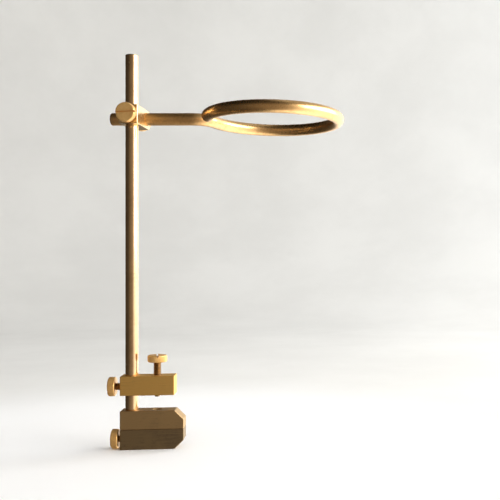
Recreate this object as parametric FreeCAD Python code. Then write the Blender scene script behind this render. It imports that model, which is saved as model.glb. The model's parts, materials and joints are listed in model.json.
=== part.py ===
# A table-clamp stand with a ring holder, in brass.
# A round post stands in a foot of two stacked bars. A third bar, the upper jaw, slides on the
# post and closes on a table top. A cross block slides on the post too, and holds a tube bent into a
# ring. Five thumb screws, turned alike, lock or clamp everything.
#
# Frame: millimetres, +Z up along the post, +X along the foot towards the jaws' mouth.
# Origin: on the post's axis, on the underside of the foot block.

import FreeCAD, Part
import math
import os

os.makedirs("parts", exist_ok=True)

Vector = FreeCAD.Vector
ORIGIN = Vector(0, 0, 0)
UP = Vector(0, 0, 1)

# Stock
bar = 12.0                 # depth of every bar, and the cross block's width and height
foot_height = 12.7         # the bars differ a little in height
lower_jaw_height = 11.7
upper_jaw_height = 12.2
bar_bevel = 0.3            # small bevel on every edge of a block
rod_radius = 4.0           # the post and the arm have the same outside
rod_fit = 0.05             # radial clearance of a rod in its bore
thread_fit = 0.05          # radial clearance of a screw in its tapped hole
mouth_bevel = 0.35         # bevel at the mouth of a bore

# Heights on the post
foot_top = foot_height
lower_jaw_top = foot_top + lower_jaw_height
jaw_gap = 9.7
upper_jaw_bottom = lower_jaw_top + jaw_gap
upper_jaw_top = upper_jaw_bottom + upper_jaw_height
post_top = 250.0
post_floor = 2.0           # brass left under the post's blind bore
post_seat_gap = 0.05
post_end_bevel = 0.5
head_height = 211.4        # the cross block's centre, which is also the arm's height
head_swivel = -7.0         # degrees that the post, block and arm stand turned from the foot

# Blocks
left_face = -6.4           # left end of the foot bars and the upper jaw
foot_reach = 33.0          # right end of both foot bars, from the post's axis
foot_corner = 5.6          # 45 degree corner cut on each foot bar
upper_jaw_reach = 27.2
arm_offset = 11.7          # the arm's axis lies this far behind the post's
head_front = -8.1
head_back_wall = 2.0       # brass behind the arm's bore
head_back = arm_offset + rod_radius + head_back_wall

# Thumb screws, all turned alike
knob_radius = 6.1
knob_thickness = 4.5
knob_bevel = 0.65
knob_slot_width = 1.1
knob_slot_depth = 1.3
spigot_radius = 1.9        # the stud's plain end, pressed into the knob
spigot_length = 2.6
stud_radius = 2.5
thread_pitch = 0.8
thread_depth = 0.45
pad_radius = 1.6
pad_bevel = 0.2
pad_stem_radius = 0.8
pad_stem_length = 1.6
pad_fit = 0.05
rod_gap = 0.05             # a tightened pad's distance from the rod it locks
lock_pad_length = 0.5
foot_lock_neck = 1.6       # thread showing between a tightened knob and its block
foot_lock_height = 6.2     # the knob just clears the surface that the foot stands on
jaw_lock_neck = 3.5
jaw_lock_height = upper_jaw_bottom + 5.2
post_lock_neck = 1.9
arm_lock_neck = 0.5
clamp_x = 15.8
clamp_neck = 8.3
clamp_pad_length = 1.6
clamp_pad_proud = 1.5      # the clamp screw's pad stands this far below the upper jaw
lock_reach = -left_face - rod_radius - rod_gap
post_lock_reach = -head_front - rod_radius - rod_gap
arm_lock_reach = head_back_wall - rod_gap

# Joining screw, from the foot's underside up into the lower jaw
joining_head_radius = 4.6
joining_recess = 0.4
joining_socket_flats = 3.0
joining_socket_depth = 1.6
joining_top = 15.5

# Ring arm: one bent tube with a pressed plug in each end
tube_wall = 1.0
arm_back_end = -17.2       # the arm's plain end, on the far side of the cross block
ring_radius = 42.0         # to the tube's centre line
ring_centre_x = 88.6
ring_bend_radius = 13.2
ring_end_angle = -165.0    # where the tube's free end stops, just short of the shank
plug_fit = 0.02
plug_head = 2.0
plug_stem = 4.0
arm_plug_bevel = 1.0
ring_plug_bevel = 1.4

rod_bore = rod_radius + rod_fit
tapped_radius = stud_radius + thread_fit


def cylinder(radius, start, end):
    """A solid cylinder from one point to another."""
    along = end - start
    return Part.makeCylinder(radius, along.Length, start, along)


def bore(radius, start, end, open_start=False, open_end=False):
    """The space of a bore, with a bevelled mouth at each open end."""
    space = cylinder(radius, start, end)
    along = (end - start).normalize()
    wide = radius + mouth_bevel
    if open_start:
        space = space.fuse(Part.makeCone(wide, radius, mouth_bevel, start, along))
    if open_end:
        space = space.fuse(Part.makeCone(wide, radius, mouth_bevel, end, along * -1))
    return space


def extruded(outline, height):
    """A closed outline of points, extruded along Y by a height."""
    return Part.Face(Part.makePolygon(outline + outline[:1])).extrude(Vector(0, height, 0))


def turned(profile):
    """A closed profile of (radius, height) points, turned about Z."""
    points = [Vector(radius, 0, height) for radius, height in profile]
    return Part.Face(Part.makePolygon(points + points[:1])).revolve(ORIGIN, UP, 360)


def block(outline):
    """A bar cut to an outline of (x, z) points, centred on the post in Y, with every edge bevelled."""
    bar_piece = extruded([Vector(x, -bar / 2, z) for x, z in outline], bar)
    return bar_piece.makeChamfer(bar_bevel, bar_piece.Edges)


def swivelled(shape):
    """The shape turned with the post, as it stands at rest."""
    placed = shape.copy()
    placed.rotate(ORIGIN, UP, head_swivel)
    return placed


def save(shape, node):
    """Write one sub-part, which has to be one valid solid."""
    solids = shape.removeSplitter().Solids
    if len(solids) != 1 or not solids[0].isValid():
        raise ValueError(node + " is not one valid solid")
    solids[0].exportStep("parts/" + node + ".step")


# ---------------------------------------------------------------- thumb screws


def knob():
    """A thumb screw's head: a slotted disc, its inner face at Z = 0 and its outer face above."""
    rim = knob_radius - knob_bevel
    top = knob_thickness
    disc = turned(
        [
            (0, 0),
            (rim, 0),
            (knob_radius, knob_bevel),
            (knob_radius, top - knob_bevel),
            (rim, top),
            (0, top),
        ]
    )
    slot = Part.makeBox(
        3 * knob_radius,
        knob_slot_width,
        2 * knob_slot_depth,
        Vector(-1.5 * knob_radius, -knob_slot_width / 2, top - knob_slot_depth),
    )
    socket = cylinder(spigot_radius, Vector(0, 0, -1), Vector(0, 0, spigot_length))
    return disc.cut(slot).cut(socket)


def stud(length):
    """A threaded stud down from Z = 0: a spigot for the knob above, a hole for the pad's stem below."""
    root = stud_radius - thread_depth
    profile = [(0, spigot_length), (spigot_radius, spigot_length), (spigot_radius, 0), (root, 0)]
    ridges = int(length / thread_pitch)
    lead_in = (length - ridges * thread_pitch) / 2
    for ridge in range(ridges):
        start = -lead_in - ridge * thread_pitch
        profile.append((root, start - 0.1 * thread_pitch))
        profile.append((stud_radius, start - 0.4 * thread_pitch))
        profile.append((stud_radius, start - 0.6 * thread_pitch))
        profile.append((root, start - 0.9 * thread_pitch))
    profile.append((root, -length))
    profile.append((0, -length))
    stem_hole = cylinder(
        pad_stem_radius + pad_fit,
        Vector(0, 0, -length - 1),
        Vector(0, 0, -length + pad_stem_length + pad_fit),
    )
    return turned(profile).cut(stem_hole)


def pad(stud_length, pad_length):
    """The small pad on a stud's end. It stays still while the stud turns on its stem."""
    top = -stud_length - pad_fit / 2
    foot = top - pad_length
    return turned(
        [
            (0, foot),
            (pad_radius - pad_bevel, foot),
            (pad_radius, foot + pad_bevel),
            (pad_radius, top),
            (pad_stem_radius, top),
            (pad_stem_radius, top + pad_stem_length),
            (0, top + pad_stem_length),
        ]
    )


def thumb_screw(name, face, outward, neck, reach, pad_length, slot_turn, on_post=False):
    """One thumb screw. Its axis leaves the block at face, and its pad ends at reach below that face."""
    stud_length = neck + reach - pad_length - pad_fit / 2
    pieces = {
        "knob": knob(),
        "stud": stud(stud_length),
        "pad": pad(stud_length, pad_length),
    }
    place = FreeCAD.Placement(face + outward * neck, FreeCAD.Rotation(UP, outward))
    for piece, shape in pieces.items():
        shape.rotate(ORIGIN, UP, slot_turn)
        shape.Placement = place.multiply(shape.Placement)
        save(swivelled(shape) if on_post else shape, name + "_" + piece)


thumb_screw(
    name="foot_lock",
    face=Vector(left_face, 0, foot_lock_height),
    outward=Vector(-1, 0, 0),
    neck=foot_lock_neck,
    reach=lock_reach,
    pad_length=lock_pad_length,
    slot_turn=20,
)
thumb_screw(
    name="jaw_lock",
    face=Vector(left_face, 0, jaw_lock_height),
    outward=Vector(-1, 0, 0),
    neck=jaw_lock_neck,
    reach=lock_reach,
    pad_length=lock_pad_length,
    slot_turn=65,
)
thumb_screw(
    name="clamp",
    face=Vector(clamp_x, 0, upper_jaw_top),
    outward=UP,
    neck=clamp_neck,
    reach=upper_jaw_height + clamp_pad_proud,
    pad_length=clamp_pad_length,
    slot_turn=100,
)
thumb_screw(
    name="post_lock",
    face=Vector(0, head_front, head_height),
    outward=Vector(0, -1, 0),
    neck=post_lock_neck,
    reach=post_lock_reach,
    pad_length=lock_pad_length,
    slot_turn=-4,
    on_post=True,
)
thumb_screw(
    name="arm_lock",
    face=Vector(0, head_back, head_height),
    outward=Vector(0, 1, 0),
    neck=arm_lock_neck,
    reach=arm_lock_reach,
    pad_length=lock_pad_length,
    slot_turn=35,
    on_post=True,
)

# ---------------------------------------------------------------- foot block and lower jaw

clamp_axis = Vector(clamp_x, 0, 0)

foot_block = block(
    [
        (left_face, 0),
        (foot_reach - foot_corner, 0),
        (foot_reach, foot_corner),
        (foot_reach, foot_top),
        (left_face, foot_top),
    ]
)
post_bore = cylinder(rod_bore, Vector(0, 0, post_floor), Vector(0, 0, lower_jaw_top))
foot_lock_bore = bore(
    tapped_radius,
    Vector(left_face, 0, foot_lock_height),
    Vector(0, 0, foot_lock_height),
    open_start=True,
)
joining_cone = joining_head_radius - stud_radius
joining_bore = cylinder(tapped_radius, clamp_axis, clamp_axis + UP * lower_jaw_top)
joining_countersink = Part.makeCone(
    joining_head_radius + joining_recess + thread_fit,
    tapped_radius,
    joining_cone + joining_recess,
    clamp_axis,
    UP,
)
for space in (post_bore, foot_lock_bore, joining_bore, joining_countersink):
    foot_block = foot_block.cut(space)
save(foot_block, "foot_block")

lower_jaw = block(
    [
        (left_face, foot_top),
        (foot_reach, foot_top),
        (foot_reach, lower_jaw_top - foot_corner),
        (foot_reach - foot_corner, lower_jaw_top),
        (left_face, lower_jaw_top),
    ]
)
for axis, radius in ((ORIGIN, rod_bore), (clamp_axis, tapped_radius)):
    lower_jaw = lower_jaw.cut(bore(radius, axis, axis + UP * lower_jaw_top, open_end=True))
save(lower_jaw, "lower_jaw")

joining_screw = turned(
    [
        (0, joining_recess),
        (joining_head_radius, joining_recess),
        (stud_radius, joining_recess + joining_cone),
        (stud_radius, joining_top),
        (0, joining_top),
    ]
)
hexagon = []
for corner in range(6):
    angle = math.radians(60 * corner)
    across = joining_socket_flats / math.sqrt(3)
    hexagon.append(Vector(across * math.cos(angle), across * math.sin(angle), 0))
socket = Part.Face(Part.makePolygon(hexagon + hexagon[:1]))
joining_screw = joining_screw.cut(socket.extrude(UP * (joining_recess + joining_socket_depth)))
joining_screw.translate(clamp_axis)
save(joining_screw, "joining_screw")

# ---------------------------------------------------------------- post and upper jaw

post_foot = post_floor + post_seat_gap
post_rim = rod_radius - post_end_bevel
post = turned(
    [
        (0, post_foot),
        (post_rim, post_foot),
        (rod_radius, post_foot + post_end_bevel),
        (rod_radius, post_top - post_end_bevel),
        (post_rim, post_top),
        (0, post_top),
    ]
)
save(post, "post")

upper_jaw = block(
    [
        (left_face, upper_jaw_bottom),
        (upper_jaw_reach, upper_jaw_bottom),
        (upper_jaw_reach, upper_jaw_top),
        (left_face, upper_jaw_top),
    ]
)
for x, radius in ((0, rod_bore), (clamp_x, tapped_radius)):
    upper_jaw = upper_jaw.cut(
        bore(
            radius,
            Vector(x, 0, upper_jaw_bottom),
            Vector(x, 0, upper_jaw_top),
            open_start=True,
            open_end=True,
        )
    )
upper_jaw = upper_jaw.cut(
    bore(
        tapped_radius,
        Vector(left_face, 0, jaw_lock_height),
        Vector(0, 0, jaw_lock_height),
        open_start=True,
    )
)
save(upper_jaw, "upper_jaw")

# ---------------------------------------------------------------- cross block

head_bottom = head_height - bar / 2
head_top = head_height + bar / 2
head_corner = Vector(-bar / 2, head_front, head_bottom)
cross_block = Part.makeBox(bar, head_back - head_front, bar, head_corner)
cross_block = cross_block.makeChamfer(bar_bevel, cross_block.Edges)
rod_bores = (
    (ORIGIN + UP * head_bottom, ORIGIN + UP * head_top),
    (
        Vector(-bar / 2, arm_offset, head_height),
        Vector(bar / 2, arm_offset, head_height),
    ),
)
for start, end in rod_bores:
    cross_block = cross_block.cut(bore(rod_bore, start, end, open_start=True, open_end=True))
for screw_face, rod_axis in ((head_front, 0), (head_back, arm_offset)):
    cross_block = cross_block.cut(
        bore(
            tapped_radius,
            Vector(0, screw_face, head_height),
            Vector(0, rod_axis, head_height),
            open_start=True,
        )
    )
save(swivelled(cross_block), "cross_block")

# ---------------------------------------------------------------- ring arm

# The shank runs along X, bends back round a small circle, and runs on round the ring the other way.
# The two circles touch, which sets where the bend starts.
ring_centre = Vector(ring_centre_x, arm_offset, head_height)
bend_run = math.sqrt(ring_radius ** 2 + 2 * ring_radius * ring_bend_radius)
bend_start = ring_centre - Vector(bend_run, 0, 0)
bend_centre = bend_start + Vector(0, ring_bend_radius, 0)
bend_turn = math.degrees(math.atan2(bend_run, ring_bend_radius))
ring_start_angle = 90 + bend_turn


def around(centre, radius, angle):
    """A point on a level circle."""
    across = math.radians(angle)
    return centre + Vector(radius * math.cos(across), radius * math.sin(across), 0)


def level_arc(centre, radius, first_angle, last_angle):
    """An arc of a level circle, between two angles in degrees."""
    middle_angle = (first_angle + last_angle) / 2
    return Part.Arc(
        around(centre, radius, first_angle),
        around(centre, radius, middle_angle),
        around(centre, radius, last_angle),
    ).toShape()


tube_start = Vector(arm_back_end + plug_head, arm_offset, head_height)
plug_head_turn = math.degrees(plug_head / ring_radius)
tube_end_angle = ring_end_angle + plug_head_turn
path = Part.Wire(
    [
        Part.LineSegment(tube_start, bend_start).toShape(),
        level_arc(bend_centre, ring_bend_radius, -90, -90 + bend_turn),
        level_arc(ring_centre, ring_radius, ring_start_angle, tube_end_angle),
    ]
)


def swept(radius):
    """The solid that a round section sweeps along the tube's path."""
    section = Part.Circle(tube_start, Vector(1, 0, 0), radius).toShape()
    return path.makePipeShell([Part.Wire([section])], True, True)


tube_bore = rod_radius - tube_wall
save(swivelled(swept(rod_radius).cut(swept(tube_bore))), "ring_arm")


def end_plug(bevel):
    """A plug for the tube's end: a bevelled head above Z = 0 and a stem in the tube below."""
    stem_radius = tube_bore - plug_fit
    return turned(
        [
            (0, -plug_stem),
            (stem_radius, -plug_stem),
            (stem_radius, 0),
            (rod_radius, 0),
            (rod_radius, plug_head - bevel),
            (rod_radius - bevel, plug_head),
            (0, plug_head),
        ]
    )


arm_plug = end_plug(arm_plug_bevel)
arm_plug.Placement = FreeCAD.Placement(tube_start, FreeCAD.Rotation(UP, Vector(-1, 0, 0)))
save(swivelled(arm_plug), "arm_plug")

tube_end = around(ring_centre, ring_radius, tube_end_angle)
tube_end_out = around(ORIGIN, 1, tube_end_angle - 90)
ring_plug = end_plug(ring_plug_bevel)
ring_plug.Placement = FreeCAD.Placement(tube_end, FreeCAD.Rotation(UP, tube_end_out))
ring_plug = ring_plug.cut(swept(rod_radius).cut(swept(tube_bore)))
save(swivelled(ring_plug), "ring_plug")
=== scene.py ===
import json
import math

import bpy
from mathutils import Matrix, Vector


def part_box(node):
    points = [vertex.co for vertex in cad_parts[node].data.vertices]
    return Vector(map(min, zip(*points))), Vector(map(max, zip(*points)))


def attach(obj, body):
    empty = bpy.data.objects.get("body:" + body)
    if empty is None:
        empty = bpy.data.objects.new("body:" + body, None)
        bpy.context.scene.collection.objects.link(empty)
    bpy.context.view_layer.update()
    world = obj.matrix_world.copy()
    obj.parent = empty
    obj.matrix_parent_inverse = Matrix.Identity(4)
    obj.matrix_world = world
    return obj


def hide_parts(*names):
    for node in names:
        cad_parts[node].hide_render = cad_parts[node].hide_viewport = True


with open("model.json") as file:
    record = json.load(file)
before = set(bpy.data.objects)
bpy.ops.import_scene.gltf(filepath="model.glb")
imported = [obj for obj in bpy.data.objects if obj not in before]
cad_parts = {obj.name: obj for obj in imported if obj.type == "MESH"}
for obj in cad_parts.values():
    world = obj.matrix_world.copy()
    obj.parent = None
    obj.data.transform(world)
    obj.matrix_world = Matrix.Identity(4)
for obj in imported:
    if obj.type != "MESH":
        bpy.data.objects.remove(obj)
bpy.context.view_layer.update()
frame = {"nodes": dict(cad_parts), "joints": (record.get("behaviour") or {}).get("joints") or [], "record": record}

# ------------------------------------------------------------------ facts read from the frame

MM = 0.001
nodes = frame["nodes"]
record = frame["record"]
joints = {joint["name"]: joint for joint in frame["joints"]}
mounts = {mount["name"]: mount for mount in record["mounts"]}

rod_radius = mounts["post_top"]["dims"]["r_mm"] * MM
ring_centre = Vector(mounts["ring"]["pos_m"])
arm_along = Vector(joints["arm_reach"]["axis"]).normalized()
arm_across = Vector((-arm_along.y, arm_along.x, 0))

# ------------------------------------------------------------------ mesh helpers


def new_object(name, mesh):
    """An object with this mesh, linked to the scene."""
    made = bpy.data.objects.new(name, mesh)
    bpy.context.scene.collection.objects.link(made)
    return made


def mesh_object(name, vertices, faces):
    """An object from plain lists of corners and faces."""
    mesh = bpy.data.meshes.new(name)
    mesh.from_pydata(vertices, [], faces)
    mesh.validate()
    return new_object(name, mesh)


def smooth(piece, sharp_degrees=32):
    """Smooth shading, with edges steeper than an angle kept sharp."""
    for polygon in piece.data.polygons:
        polygon.use_smooth = True
    piece.data.set_sharp_from_angle(angle=math.radians(sharp_degrees))
    return piece


def applied(piece):
    """The piece with its modifiers made part of its mesh."""
    bpy.context.view_layer.update()
    graph = bpy.context.evaluated_depsgraph_get()
    final = bpy.data.meshes.new_from_object(piece.evaluated_get(graph))
    piece.modifiers.clear()
    piece.data = final
    return piece


def lathe(name, profile, steps=96, radius_at=None):
    """A closed surface turned about Z from (radius, height) points that start and end on the axis.

    radius_at(radius, height, angle) may change the radius round the circle, as knurling does.
    """
    vertices = [(0, 0, profile[0][1])]
    rows = profile[1:-1]
    for radius, height in rows:
        for step in range(steps):
            angle = 2 * math.pi * step / steps
            reach = radius_at(radius, height, angle) if radius_at else radius
            vertices.append((reach * math.cos(angle), reach * math.sin(angle), height))
    vertices.append((0, 0, profile[-1][1]))
    last = len(vertices) - 1
    faces = []
    for step in range(steps):
        following = (step + 1) % steps
        faces.append((0, 1 + following, 1 + step))
        top = 1 + (len(rows) - 1) * steps
        faces.append((last, top + step, top + following))
        for row in range(len(rows) - 1):
            lower = 1 + row * steps
            upper = lower + steps
            faces.append((lower + step, lower + following, upper + following, upper + step))
    return mesh_object(name, vertices, faces)


def rounded(corner, before, after, radius, steps=5):
    """Points that round a corner of a profile, between the points before and after it."""
    corner, before, after = Vector(corner), Vector(before), Vector(after)
    start = corner + (before - corner).normalized() * radius
    end = corner + (after - corner).normalized() * radius
    points = []
    for step in range(steps + 1):
        t = step / steps
        point = start * (1 - t) ** 2 + corner * 2 * t * (1 - t) + end * t ** 2
        points.append((point.x, point.y))
    return points


def rounded_profile(points, radii):
    """A profile with each inner corner rounded by its own radius. 0 leaves a corner sharp."""
    made = [points[0]]
    for index in range(1, len(points) - 1):
        radius = radii[index]
        if radius:
            made += rounded(points[index], points[index - 1], points[index + 1], radius)
        else:
            made.append(points[index])
    return made + [points[-1]]


def facing(origin, axis):
    """A matrix that puts local Z along an axis, at an origin."""
    turn = Vector((0, 0, 1)).rotation_difference(Vector(axis))
    return Matrix.Translation(origin) @ turn.to_matrix().to_4x4()


def span(node, origin, axis):
    """How far a CAD node reaches along an axis, from an origin on it."""
    reach = [(vertex.co - origin).dot(axis) for vertex in nodes[node].data.vertices]
    return min(reach), max(reach)


def cut(piece, cutter):
    """The piece with the cutter's space taken out. The cutter is used up."""
    modifier = piece.modifiers.new("cut", "BOOLEAN")
    modifier.operation = "DIFFERENCE"
    modifier.solver = "EXACT"
    modifier.object = cutter
    applied(piece)
    bpy.data.objects.remove(cutter)
    return piece


# ------------------------------------------------------------------ camera and light

# The picture is turned from the foot's own axes: the foot stands at an angle to the camera.
VIEW_TURN = math.radians(-6.48)
CAMERA_OFFSET = Vector((151.6, -490.4, 116.8)) * MM
FOCAL_SHARE = 770 / 500    # focal length over the picture's width
SENSOR = 36.0
SHIFT_ACROSS = -0.24
SHIFT_UP = 0.029


def make_camera():
    """A level camera beside and below the ring, framed off centre."""
    data = bpy.data.cameras.new("camera")
    data.sensor_width = SENSOR
    data.lens = SENSOR * FOCAL_SHARE
    data.shift_x = SHIFT_ACROSS
    data.shift_y = SHIFT_UP
    data.clip_start = 0.01
    data.clip_end = 20
    camera = new_object("camera", data)
    camera.location = Matrix.Rotation(VIEW_TURN, 3, "Z") @ CAMERA_OFFSET
    camera.rotation_euler = (math.radians(90), 0, VIEW_TURN)
    bpy.context.scene.camera = camera


def area_light(name, place, target, width, height, power, colour):
    """A soft rectangular light, placed and aimed in the picture's own directions."""
    data = bpy.data.lights.new(name, "AREA")
    data.shape = "RECTANGLE"
    data.size = width
    data.size_y = height
    data.energy = power
    data.color = colour
    light = new_object(name, data)
    turn = Matrix.Rotation(VIEW_TURN, 3, "Z")
    light.location = turn @ Vector(place)
    aim = turn @ Vector(target) - light.location
    light.rotation_euler = aim.to_track_quat("-Z", "Y").to_euler()
    return light


make_camera()


# ------------------------------------------------------------------ shader helpers


def new_material(name):
    """A material with a Principled surface: the material, its node tree and that shader."""
    material = bpy.data.materials.new(name)
    material.use_nodes = True
    tree = material.node_tree
    return material, tree, tree.nodes["Principled BSDF"]


def shader_node(tree, kind, values=None, **settings):
    """A node with its settings, and its unlinked inputs set by name or number."""
    made = tree.nodes.new(kind)
    for name, value in settings.items():
        setattr(made, name, value)
    for name, value in (values or {}).items():
        if isinstance(value, bpy.types.NodeSocket):
            tree.links.new(value, made.inputs[name])
        else:
            made.inputs[name].default_value = value
    return made


def stretched(tree, coordinates, scale):
    """Texture coordinates scaled by a vector."""
    mapping = shader_node(tree, "ShaderNodeMapping", {"Vector": coordinates, "Scale": scale})
    return mapping.outputs["Vector"]


def noise(tree, coordinates, scale, detail=4.0, roughness=0.55, distortion=0.0):
    """A noise value from 0 to 1."""
    made = shader_node(
        tree,
        "ShaderNodeTexNoise",
        {
            "Vector": coordinates,
            "Scale": scale,
            "Detail": detail,
            "Roughness": roughness,
            "Distortion": distortion,
        },
    )
    return made.outputs["Fac"]


def fitted(tree, value, low, high, to_low=0.0, to_high=1.0):
    """A value mapped from one range to another, held inside it."""
    made = shader_node(
        tree,
        "ShaderNodeMapRange",
        {
            "Value": value,
            "From Min": low,
            "From Max": high,
            "To Min": to_low,
            "To Max": to_high,
        },
        interpolation_type="SMOOTHSTEP",
    )
    return made.outputs["Result"]


def maths(tree, operation, first, second):
    """One sum on two values."""
    made = shader_node(tree, "ShaderNodeMath", {0: first, 1: second}, operation=operation)
    return made.outputs[0]


def mixed(tree, share, first, second, blend="MIX"):
    """Two colours mixed by a share."""
    made = shader_node(tree, "ShaderNodeMix", data_type="RGBA", blend_type=blend)
    sockets = {"Factor": share, "A": first, "B": second}
    for socket in made.inputs:
        if socket.type == "RGBA" or (socket.name == "Factor" and socket.type == "VALUE"):
            value = sockets[socket.name]
            if isinstance(value, bpy.types.NodeSocket):
                tree.links.new(value, socket)
            else:
                socket.default_value = value
    return next(socket for socket in made.outputs if socket.type == "RGBA")


def bumped(tree, surface, layers):
    """Layered bumps on a shader: each layer is a height value and a depth in metres."""
    normal = None
    for height, depth in layers:
        values = {"Height": height, "Distance": depth, "Strength": 1.0}
        if normal:
            values["Normal"] = normal
        normal = shader_node(tree, "ShaderNodeBump", values).outputs["Normal"]
    tree.links.new(normal, surface.inputs["Normal"])


# ------------------------------------------------------------------ materials


MARK_DEPTH = 0.000012
FINE_MARK_DEPTH = 0.000006
SPECK_DEPTH = 0.000004
FINER = 4.0
TARNISHED_ROUGHER = 0.08


def brass(
    name, clean, tarnish, aged, gloss, grain, relief=1.0, turned=False, satin=None, metal=1.0
):
    """Worked brass with tarnish, drawn or turned marks, fine scratches and worn edges.

    clean and tarnish are colours, aged the share of tarnish from 0 to 1, gloss the lowest and
    highest roughness, grain the stretch of the marks along X, Y and Z, and relief their depth.
    turned adds rings about Z. satin is an X where a rougher stretch ends, the X where the gloss is
    back, and how much rougher it is. metal is how metallic it is: real brass is 1, and less is a
    stand-in that keeps rough turned faces from looking orange.
    """
    material, tree, surface = new_material(name)
    place = shader_node(tree, "ShaderNodeTexCoord").outputs["Object"]
    clouds = noise(tree, place, 55.0, detail=5.0, roughness=0.6, distortion=0.4)
    specks = noise(tree, place, 900.0, detail=3.0, roughness=0.65)
    marks = noise(tree, stretched(tree, place, grain), 1.0, detail=4.0, roughness=0.7)
    fine_grain = tuple(FINER * part for part in grain)
    fine_marks = noise(
        tree, stretched(tree, place, fine_grain), 1.0, detail=3.0, roughness=0.7
    )
    if turned:
        rings = shader_node(
            tree,
            "ShaderNodeTexWave",
            {"Vector": place, "Scale": 1400.0, "Distortion": 0.6, "Detail": 2.0},
            wave_type="RINGS",
            rings_direction="Z",
        ).outputs["Fac"]
        fine_marks = maths(tree, "ADD", fine_marks, maths(tree, "MULTIPLY", rings, 0.6))
    cloud_share = fitted(tree, clouds, 0.35, 0.68)
    speck_share = fitted(tree, specks, 0.52, 0.75)
    mark_share = fitted(tree, marks, 0.35, 0.7)
    age = maths(tree, "MULTIPLY", cloud_share, 0.55)
    age = maths(tree, "ADD", age, maths(tree, "MULTIPLY", speck_share, 0.25))
    age = maths(tree, "ADD", age, maths(tree, "MULTIPLY", mark_share, 0.35))
    age = maths(tree, "MULTIPLY", age, 2.0 * aged)
    edge = shader_node(tree, "ShaderNodeNewGeometry").outputs["Pointiness"]
    worn = fitted(tree, edge, 0.52, 0.62)
    age = maths(tree, "SUBTRACT", age, maths(tree, "MULTIPLY", worn, 0.5))
    age = fitted(tree, age, 0.0, 1.0)
    colour = mixed(tree, age, (*clean, 1), (*tarnish, 1))
    tree.links.new(colour, surface.inputs["Base Color"])
    surface.inputs["Metallic"].default_value = metal
    rough = fitted(tree, marks, 0.3, 0.7, gloss[0], gloss[1])
    rough = maths(tree, "ADD", rough, maths(tree, "MULTIPLY", age, TARNISHED_ROUGHER))
    if satin:
        along = shader_node(tree, "ShaderNodeSeparateXYZ", {"Vector": place}).outputs["X"]
        satin_end, gloss_start, rougher = satin
        extra = fitted(tree, along, satin_end, gloss_start, rougher, 0.0)
        rough = maths(tree, "ADD", rough, extra)
    tree.links.new(rough, surface.inputs["Roughness"])
    layers = ((marks, MARK_DEPTH), (fine_marks, FINE_MARK_DEPTH), (specks, SPECK_DEPTH))
    bumped(tree, surface, [(height, relief * depth) for height, depth in layers])
    return material


DRAWN_X = (60.0, 1500.0, 1500.0)
DRAWN_Z = (1500.0, 1500.0, 60.0)
EVEN = (700.0, 700.0, 700.0)

# The clean and tarnished colours, share of tarnish, lowest and highest roughness, and grain.
FINISHES = {
    "foot_brass": ((0.37, 0.27, 0.15), (0.19, 0.14, 0.09), 0.5, (0.46, 0.56), DRAWN_X),
    "lower_jaw_brass": ((0.58, 0.40, 0.20), (0.34, 0.25, 0.14), 0.5, (0.48, 0.58), DRAWN_X),
    "jaw_brass": ((0.96, 0.62, 0.20), (0.64, 0.43, 0.16), 0.45, (0.52, 0.62), DRAWN_X),
    "head_brass": ((0.90, 0.68, 0.38), (0.62, 0.46, 0.24), 0.4, (0.24, 0.34), EVEN),
    "post_brass": ((0.92, 0.66, 0.38), (0.62, 0.42, 0.23), 0.4, (0.15, 0.21), DRAWN_Z),
    "arm_brass": ((0.95, 0.61, 0.27), (0.64, 0.38, 0.16), 0.4, (0.24, 0.32), EVEN),
    "knob_brass": ((1.0, 0.62, 0.23), (0.80, 0.44, 0.14), 0.4, (0.28, 0.38), EVEN),
    "thread_brass": ((0.60, 0.38, 0.16), (0.22, 0.14, 0.08), 0.6, (0.3, 0.42), EVEN),
    "pad_brass": ((0.40, 0.27, 0.13), (0.16, 0.11, 0.07), 0.6, (0.35, 0.5), EVEN),
    "screw_steel": ((0.42, 0.41, 0.39), (0.20, 0.19, 0.18), 0.5, (0.3, 0.45), EVEN),
}
# What three of them have besides.
SPECIAL = {
    "post_brass": {"relief": 0.5},
    "arm_brass": {"relief": 0.15, "satin": (0.040, 0.050, 0.13)},
    "knob_brass": {"relief": 1.5, "turned": True, "metal": 0.65},
}
MATERIALS = {
    name: brass(name, *finish, **SPECIAL.get(name, {})) for name, finish in FINISHES.items()
}


def coat(piece, slot_name):
    """The piece in one of the record's finishes."""
    piece.data.materials.clear()
    piece.data.materials.append(MATERIALS[slot_name])
    return piece


def stand_in(piece, slot_name, body, *replaced):
    """A finished piece on its body, standing for CAD nodes."""
    coat(piece, slot_name)
    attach(piece, body)
    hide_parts(*replaced)
    return piece


# ------------------------------------------------------------------ rods: the post and the ring arm


POST_CORNER = 0.6 * MM


def make_post():
    """The drawn round post, with softened ends."""
    low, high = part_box("post")
    points = [
        (0, low.z),
        (rod_radius, low.z),
        (rod_radius, high.z),
        (0, high.z),
    ]
    post = lathe("post_rod", rounded_profile(points, (0, POST_CORNER, POST_CORNER, 0)))
    stand_in(smooth(post), "post_brass", "post", "post")


RING_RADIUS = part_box("ring_arm")[1].x - ring_centre.x - rod_radius
BEND_RADIUS = 13.2 * MM
RING_END = math.radians(-165.0)
SAME_PLACE = 1e-9


def arm_point(along, across):
    """A point in the arm's plane, measured from the ring's centre along and across the shank."""
    return ring_centre + arm_along * along + arm_across * across


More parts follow.
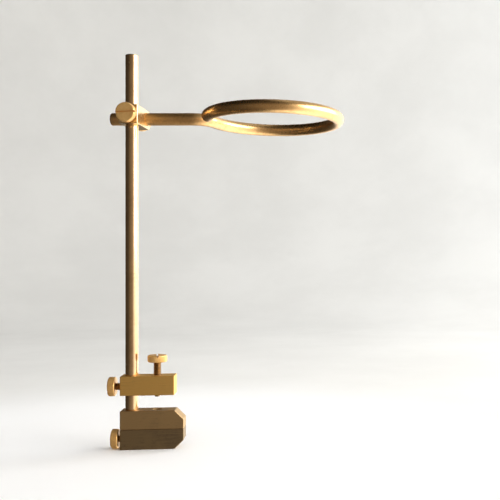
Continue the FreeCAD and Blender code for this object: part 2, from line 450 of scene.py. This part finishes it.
def arm_path():
    """The arm's centre line from its plain end to its free end: points and directions."""
    bend_run = math.sqrt(RING_RADIUS ** 2 + 2 * RING_RADIUS * BEND_RADIUS)
    bend_turn = math.atan2(bend_run, BEND_RADIUS)
    start = min((v.co - ring_centre).dot(arm_along) for v in nodes["arm_plug"].data.vertices)
    line = []
    straight_steps = 40
    for step in range(straight_steps):
        t = step / straight_steps
        line.append(((start + (-bend_run - start) * t, 0.0), (1.0, 0.0)))
    bend_steps = 28
    for step in range(bend_steps):
        angle = -math.pi / 2 + bend_turn * step / bend_steps
        spot = (
            -bend_run + BEND_RADIUS * math.cos(angle),
            BEND_RADIUS + BEND_RADIUS * math.sin(angle),
        )
        line.append((spot, (-math.sin(angle), math.cos(angle))))
    first = math.pi / 2 + bend_turn
    ring_steps = 220
    for step in range(ring_steps + 1):
        angle = first + (RING_END - first) * step / ring_steps
        spot = (RING_RADIUS * math.cos(angle), RING_RADIUS * math.sin(angle))
        line.append((spot, (math.sin(angle), -math.cos(angle))))
    return line


def tube_along(name, line, end_profiles, steps=64):
    """A solid round bar along a level line, with each end drawn in by (distance, radius) rows."""
    rows = []
    travelled = [0.0]
    for (before, _), (after, _) in zip(line, line[1:]):
        travelled.append(travelled[-1] + math.dist(before, after))
    length = travelled[-1]
    ends = list(end_profiles[0])
    ends += [(length - distance, reach) for distance, reach in end_profiles[1]]
    stations = {distance for distance, _ in ends}
    inner_start = end_profiles[0][-1][0]
    inner_end = length - end_profiles[1][-1][0]
    stations |= {distance for distance in travelled if inner_start < distance < inner_end}
    for station in sorted(stations):
        index = 0
        while index < len(travelled) - 2 and travelled[index + 1] < station:
            index += 1
        share = (station - travelled[index]) / (travelled[index + 1] - travelled[index])
        (x0, y0), (dx0, dy0) = line[index]
        (x1, y1), (dx1, dy1) = line[index + 1]
        spot = (x0 + (x1 - x0) * share, y0 + (y1 - y0) * share)
        direction = Vector((dx0 + (dx1 - dx0) * share, dy0 + (dy1 - dy0) * share)).normalized()
        radius = rod_radius
        for distance, reach in ends:
            if abs(distance - station) < SAME_PLACE:
                radius = reach
        rows.append((spot, direction, radius))
    vertices, faces = [], []
    for spot, direction, radius in rows:
        side = arm_across * direction.x - arm_along * direction.y
        for step in range(steps):
            angle = 2 * math.pi * step / steps
            outward = side * math.cos(angle) + Vector((0, 0, math.sin(angle)))
            vertices.append(arm_point(*spot) + outward * radius)
    for row in range(len(rows) - 1):
        for step in range(steps):
            following = (step + 1) % steps
            lower, upper = row * steps, (row + 1) * steps
            faces.append((lower + step, lower + following, upper + following, upper + step))
    faces.append(tuple(range(steps))[::-1])
    faces.append(tuple(range((len(rows) - 1) * steps, len(rows) * steps)))
    return mesh_object(name, vertices, faces)


def end_rows(reach, corner, depth):
    """Rows that round a bar's end: the end's flat radius grows to the full radius over a depth."""
    rows = []
    steps = 7
    for step in range(steps + 1):
        angle = math.pi / 2 * step / steps
        rows.append((depth * (1 - math.cos(angle)), reach - corner + corner * math.sin(angle)))
    return rows


def make_arm():
    """The ring arm and its end plugs, in one bent bar with softened ends."""
    ends = (
        end_rows(rod_radius, 1.0 * MM, 1.0 * MM),
        end_rows(rod_radius, 2.0 * MM, 1.6 * MM),
    )
    arm = tube_along("ring_arm_tube", arm_path(), ends)
    stand_in(smooth(arm), "arm_brass", "arm", "ring_arm", "arm_plug", "ring_plug")


make_post()
make_arm()

# ------------------------------------------------------------------ thumb screws

KNOB_RADIUS = (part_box("clamp_knob")[1].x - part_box("clamp_knob")[0].x) / 2
KNOB_RIDGES = 54
STEPS_PER_RIDGE = 6
KNURL_DEPTH = 0.16 * MM
KNURL_BAND = 0.12 * MM      # how far in from the rim the ridges fade out
KNURL_SHARPNESS = 0.7
FACE_INSET = 0.5 * MM
OUTER_FACE_INSET = 0.15 * MM
INNER_CHAMFER = 0.55 * MM
OUTER_CHAMFER = 0.65 * MM
KNOB_CORNERS = (0, 0.25 * MM, 0.2 * MM, 0.3 * MM, 0.3 * MM, 0)
SLOT_WIDTH = 1.1 * MM
SLOT_DEPTH = 1.3 * MM
STUD_RADIUS = 2.42 * MM     # the CAD stud is 2.5 mm
THREAD_PITCH = 0.8 * MM
THREAD_DEPTH = 0.45 * MM
THREAD_PEAK = 1.35          # over 1, so the crest is flat
THREAD_FLANK = 2.9          # how fast the crest falls away, by share of a turn


def knurl(radius, height, angle):
    """The knob's rim, cut in fine ridges where it is at its widest."""
    widest = max(0.0, (radius - (KNOB_RADIUS - KNURL_BAND)) / KNURL_BAND)
    groove = abs(math.sin(KNOB_RIDGES * angle / 2)) ** KNURL_SHARPNESS
    return radius - widest * KNURL_DEPTH * (1 - groove)


def make_knob(name, slot_turn):
    """A turned, knurled and slotted head, its inner face at local Z = 0."""
    joint = joints[name + "_turn"]
    axis = Vector(joint["axis"]).normalized()
    origin = Vector(joint["pos_m"])
    low, high = span(name + "_knob", origin, axis)
    thick = high - low
    face_radius = KNOB_RADIUS - FACE_INSET
    points = [
        (0, 0),
        (face_radius, 0),
        (KNOB_RADIUS, INNER_CHAMFER),
        (KNOB_RADIUS, thick - OUTER_CHAMFER),
        (face_radius - OUTER_FACE_INSET, thick),
        (0, thick),
    ]
    profile = rounded_profile(points, KNOB_CORNERS)
    # One more point on each flat face keeps the corner's smooth shading off it.
    profile.insert(1, (face_radius - 0.5 * MM, 0))
    profile.insert(-1, (face_radius - 0.7 * MM, thick))
    knob = lathe(name + "_head", profile, steps=KNOB_RIDGES * STEPS_PER_RIDGE, radius_at=knurl)
    bpy.ops.mesh.primitive_cube_add(size=1)
    cutter = bpy.context.object
    cutter.scale = (3 * KNOB_RADIUS, SLOT_WIDTH, 2 * SLOT_DEPTH)
    cutter.location = (0, 0, thick)
    cutter.rotation_euler = (0, 0, slot_turn)
    cut(knob, cutter)
    knob.matrix_world = facing(origin + axis * low, axis)
    stand_in(smooth(knob, 30), "knob_brass", name + "_screw", name + "_knob")


def make_stud(name):
    """A stud with a true helical thread, right-handed about the outward axis."""
    joint = joints[name + "_turn"]
    axis = Vector(joint["axis"]).normalized()
    origin = Vector(joint["pos_m"])
    low = span(name + "_stud", origin, axis)[0]
    high = span(name + "_knob", origin, axis)[0]
    length = high - low
    rows_per_turn = 12
    steps = 48
    count = int(length / THREAD_PITCH * rows_per_turn)

    def threaded(radius, height, angle):
        phase = (height / THREAD_PITCH - angle / (2 * math.pi)) % 1.0
        crest = min(1.0, max(0.0, THREAD_PEAK - THREAD_FLANK * abs(phase - 0.5)))
        fade = min(1.0, height / (0.6 * THREAD_PITCH), (length - height) / (0.4 * THREAD_PITCH))
        return radius - THREAD_DEPTH * (1 - crest * max(0.0, fade))

    profile = [(0, 0)]
    for row in range(count + 1):
        profile.append((STUD_RADIUS, length * row / count))
    profile.append((0, length))
    stud = lathe(name + "_thread", profile, steps=steps, radius_at=threaded)
    stud.matrix_world = facing(origin + axis * low, axis)
    stand_in(smooth(stud, 60), "thread_brass", name + "_screw", name + "_stud")


SLOT_TURNS = {"foot_lock": 20, "jaw_lock": 65, "clamp": 100, "post_lock": -4, "arm_lock": 35}
for screw, slot_degrees in SLOT_TURNS.items():
    make_knob(screw, math.radians(slot_degrees))
    make_stud(screw)
    coat(nodes[screw + "_pad"], "pad_brass")

for node_name, slot_name in (
    ("foot_block", "foot_brass"),
    ("lower_jaw", "lower_jaw_brass"),
    ("upper_jaw", "jaw_brass"),
    ("cross_block", "head_brass"),
    ("joining_screw", "screw_steel"),
):
    coat(nodes[node_name], slot_name)

# ------------------------------------------------------------------ floor, backdrop and light


def pale_material():
    """A pale matt card, very faintly mottled, with painted shade that turns it greyer away from the middle."""
    material, tree, surface = new_material("pale_card")
    place = shader_node(tree, "ShaderNodeTexCoord").outputs["Object"]
    patches = fitted(tree, noise(tree, place, 4.0, 5.0, 0.6), 0.3, 0.7)
    floor_tone = mixed(tree, patches, (0.95, 0.95, 0.96, 1), (0.98, 0.98, 0.99, 1))
    painted_shade_wall_tone = mixed(tree, patches, (0.77, 0.765, 0.75, 1), (0.83, 0.825, 0.81, 1))
    # Painted shade: the far floor and the backdrop get a greyer tone than the middle, standing in for less light
    # reaching them.
    distance = shader_node(tree, "ShaderNodeVectorMath", {0: place}, operation="LENGTH")
    far = fitted(tree, distance.outputs["Value"], PAINTED_SHADE_START, PAINTED_SHADE_FULL)
    tone = mixed(tree, far, floor_tone, painted_shade_wall_tone)
    tree.links.new(tone, surface.inputs["Base Color"])
    surface.inputs["Roughness"].default_value = 0.9
    return material


def ring_of_quads(name, rows, steps=128):
    """A surface turned about Z through (radius, height) rows, open at its last row."""
    vertices, faces = [], []
    for radius, height in rows:
        for step in range(steps):
            angle = 2 * math.pi * step / steps
            vertices.append((radius * math.cos(angle), radius * math.sin(angle), height))
    for row in range(len(rows) - 1):
        for step in range(steps):
            following = (step + 1) % steps
            lower, upper = row * steps, (row + 1) * steps
            faces.append((lower + step, lower + following, upper + following, upper + step))
    return mesh_object(name, vertices, faces)


PAINTED_SHADE_START, PAINTED_SHADE_FULL = 0.13, 0.32    # where the painted shade that turns the card greyer starts and ends
FLOOR_HOLE = 0.0005
FLOOR_REACH = 0.9
WALL_REACH = 1.6
WALL_TOP = 2.6


def make_stage():
    """A round floor and a backdrop that curves up from it, both pale."""
    card = pale_material()
    floor = ring_of_quads("floor", [(FLOOR_HOLE, 0.0), (FLOOR_REACH, 0.0)])
    sweep = []
    steps = 24
    bend = WALL_REACH - FLOOR_REACH
    for step in range(steps + 1):
        angle = math.pi / 2 * step / steps
        sweep.append((FLOOR_REACH + bend * math.sin(angle), bend * (1 - math.cos(angle))))
    sweep.append((WALL_REACH, WALL_TOP))
    backdrop = ring_of_quads("backdrop", sweep)
    for piece in (floor, backdrop):
        piece.data.materials.append(card)
        smooth(piece, 60)
        piece.visible_glossy = False


# Round the horizon: degrees from the camera's side towards the right, how bright, and how warm.
SURROUNDINGS = (
    (-180, 1.5, 0.0),
    (-165, 0.2, 0.5),
    (-145, 0.07, 1.0),
    (-108, 0.05, 1.0),
    (-67, 0.06, 1.0),
    (-41, 0.09, 1.0),
    (-14, 0.2, 1.0),
    (18, 0.28, 1.0),
    (36, 0.45, 0.7),
    (50, 1.1, 0.3),
    (61, 1.4, 0.2),
    (90, 1.9, 0.0),
    (145, 2.2, 0.0),
    (180, 1.5, 0.0),
)
NEUTRAL = Vector((1.0, 0.98, 0.95))
WARM = Vector((1.0, 0.82, 0.64))
CEILING_SHARE = 0.25


def make_world():
    """Surroundings that the metal mirrors: dim on the left, bright on the right and behind."""
    world = bpy.data.worlds.new("studio")
    bpy.context.scene.world = world
    world.use_nodes = True
    tree = world.node_tree
    direction = shader_node(tree, "ShaderNodeTexCoord").outputs["Generated"]
    turn = Matrix.Rotation(VIEW_TURN, 3, "Z")
    shares = []
    for axis in (turn @ Vector((1, 0, 0)), turn @ Vector((0, -1, 0)), Vector((0, 0, 1))):
        values = {0: direction, 1: axis}
        dot = shader_node(tree, "ShaderNodeVectorMath", values, operation="DOT_PRODUCT")
        shares.append(dot.outputs["Value"])
    towards_right, towards_front, upwards = shares
    azimuth = maths(tree, "ARCTAN2", towards_right, towards_front)
    place = maths(tree, "ADD", maths(tree, "DIVIDE", azimuth, 2 * math.pi), 0.5)
    ramp = tree.nodes.new("ShaderNodeValToRGB")
    tree.links.new(place, ramp.inputs["Fac"])
    stops = ramp.color_ramp.elements
    stops.remove(stops[1])
    for number, (degrees, radiance, warmth) in enumerate(SURROUNDINGS):
        stop = stops[0] if number == 0 else stops.new(degrees / 360 + 0.5)
        stop.position = degrees / 360 + 0.5
        stop.color = (*(radiance * NEUTRAL.lerp(WARM, warmth)), 1)
    above = fitted(tree, upwards, 0.1, 0.8, 1.0, CEILING_SHARE)
    background = tree.nodes["Background"]
    tree.links.new(ramp.outputs["Color"], background.inputs["Color"])
    tree.links.new(above, background.inputs["Strength"])


make_stage()
make_world()

# Each light: its place, what it is aimed at, its width, height and power, and its colour.
KEY_WHITE = (1.0, 0.97, 0.92)
SKY_WHITE = (0.95, 0.98, 1.0)
key = area_light("key", (0.97, -0.03, 0.48), (0.02, 0, 0.15), 1.2, 0.66, 11.5, KEY_WHITE)
overhead = area_light(
    "overhead", (0.1, 0.0, 1.2), (0.05, 0.0, 0.0), 0.9, 0.9, 3.9, SKY_WHITE
)
wall_fill = area_light(
    "wall_fill", (1.15, 0.9, 1.0), (0.55, 1.5, 0.5), 0.8, 0.8, 14.0, SKY_WHITE
)
overhead.visible_glossy = False
wall_fill.visible_glossy = False
for light in (key, overhead, wall_fill):
    light.visible_camera = False
bpy.context.scene.view_settings.view_transform = "Standard"
